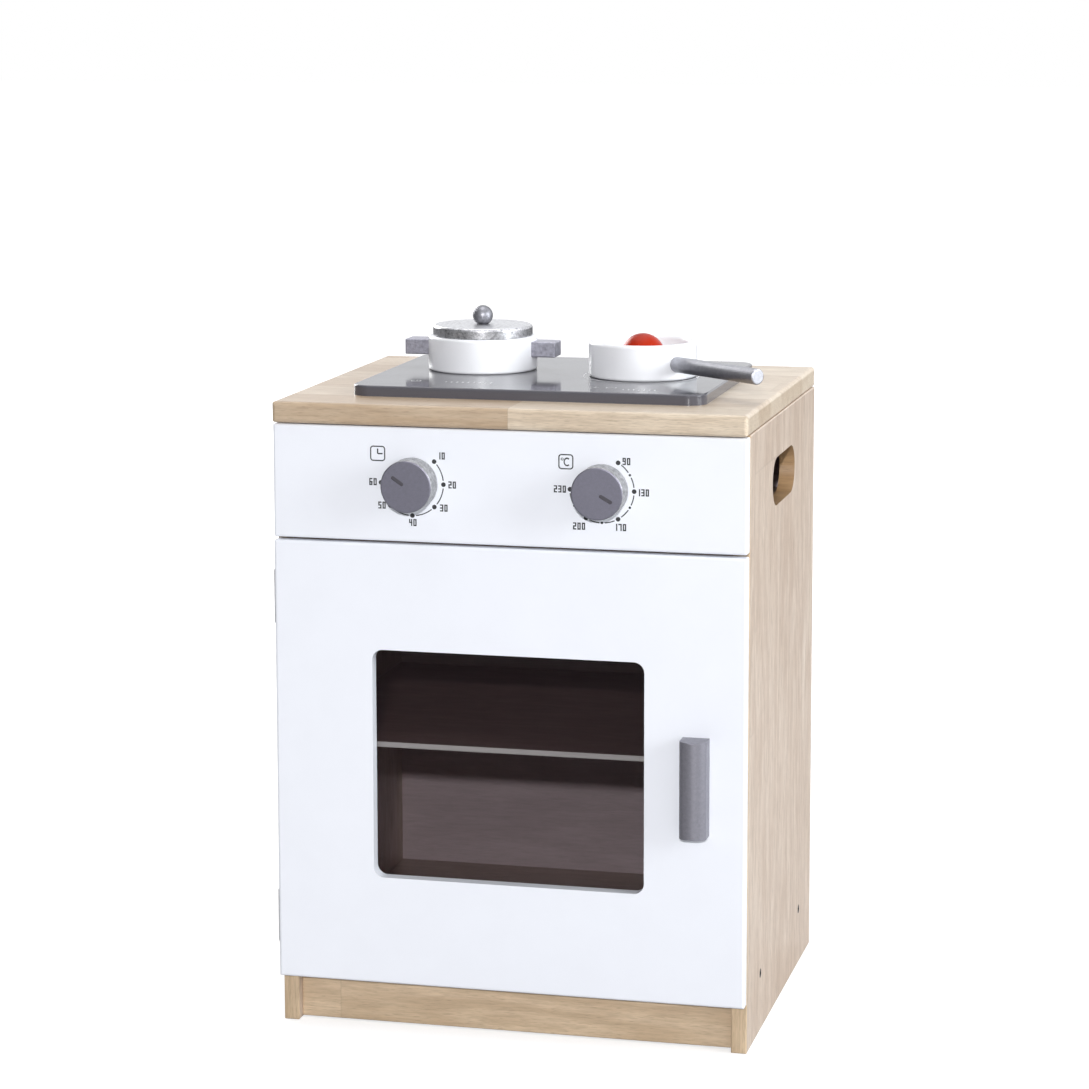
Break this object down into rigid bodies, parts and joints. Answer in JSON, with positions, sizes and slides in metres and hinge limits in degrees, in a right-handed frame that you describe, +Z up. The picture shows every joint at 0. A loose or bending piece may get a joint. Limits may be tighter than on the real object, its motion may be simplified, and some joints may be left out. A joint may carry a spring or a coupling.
{
  "type": "toy oven",
  "caption": "Wooden toy oven: a cabinet with a windowed hinged door, turning dials, a shelf and a hob board with a lidded pot and a frying pan.",
  "frame": {"origin": "middle of the footprint's bounding box, on the floor", "axes": "+Z up, the door and the dials face -Y, +X to the right as seen from the front"},
  "size_m": [0.3634, 0.3196, 0.5378],
  "materials": {
    "pale_wood": "pale birch board, matt lacquer",
    "board_wood": "light brown board, matt lacquer",
    "worktop_wood": "light wood in glued staves, matt lacquer",
    "white_paint": "satin white paint on wood",
    "hob_paint": "gloss dark grey paint on wood",
    "grey_paint": "metallic grey paint on wood",
    "silver_paint": "mottled silver paint on wood",
    "smoked_plastic": "smoked clear acrylic",
    "steel": "plain zinc-plated steel",
    "dark_steel": "blackened steel",
    "bright_steel": "nickel-plated magnet",
    "egg_white": "white paint on wood",
    "egg_red": "satin orange-red paint on wood"
  },
  "bodies": {
    "cabinet": {"side_panel_left": "pale_wood", "side_panel_right": "pale_wood", "bottom_panel": "board_wood", "oven_ceiling": "board_wood", "back_panel": "board_wood", "plinth": "board_wood", "shelf": "board_wood", "worktop": "worktop_wood", "control_panel": "white_paint", "hob_plate": "hob_paint", "worktop_dowels": "pale_wood", "ceiling_dowels": "pale_wood", "control_panel_dowels": "pale_wood", "cabinet_screws": "dark_steel", "back_panel_screws": "steel", "hob_screws": "steel", "hinge_frame_leaf_upper": "steel", "hinge_frame_leaf_lower": "steel", "hinge_pin_upper": "steel", "hinge_pin_lower": "steel", "hinge_frame_screws": "steel", "catch_magnet": "bright_steel"},
    "door": {"door_panel": "white_paint", "window_pane": "smoked_plastic", "pane_screws": "steel", "door_handle": "grey_paint", "handle_screws": "steel", "hinge_door_leaf_upper": "steel", "hinge_door_leaf_lower": "steel", "hinge_door_screws": "steel", "strike_disc": "steel"},
    "timer_dial": {"timer_knob": "grey_paint", "timer_spindle": "steel", "timer_washer": "steel"},
    "temperature_dial": {"temperature_knob": "grey_paint", "temperature_spindle": "steel", "temperature_washer": "steel"},
    "pot": {"pot_body": "white_paint", "pot_grip_left": "silver_paint", "pot_grip_right": "silver_paint"},
    "lid": {"pot_lid": "silver_paint", "lid_knob": "silver_paint"},
    "pan": {"pan_body": "white_paint", "pan_handle": "grey_paint"},
    "egg": {"egg_white": "egg_white", "egg_yolk": "egg_red"}
  },
  "joints": [
    {"name": "door_hinge", "type": "hinge", "parent": "cabinet", "child": "door", "pos_m": [-0.18015, -0.1305, 0.2065], "axis": [0, 0, -1], "range_deg": [0, 110]},
    {"name": "timer_knob_turn", "type": "hinge", "parent": "cabinet", "child": "timer_dial", "pos_m": [-0.07025, -0.1402, 0.42155], "axis": [0, -1, 0], "continuous": true},
    {"name": "temperature_knob_turn", "type": "hinge", "parent": "cabinet", "child": "temperature_dial", "pos_m": [0.07375, -0.1402, 0.42155], "axis": [0, -1, 0], "continuous": true},
    {"name": "pot_lift", "type": "slide", "parent": "cabinet", "child": "pot", "axis": [0, 0, 1], "range_m": [0, 0.06]},
    {"name": "lid_lift", "type": "slide", "parent": "pot", "child": "lid", "axis": [0, 0, 1], "range_m": [0, 0.04]},
    {"name": "pan_lift", "type": "slide", "parent": "cabinet", "child": "pan", "axis": [0, 0, 1], "range_m": [0, 0.06]},
    {"name": "egg_lift", "type": "slide", "parent": "pan", "child": "egg", "axis": [0, 0, 1], "range_m": [0, 0.04]}
  ]
}
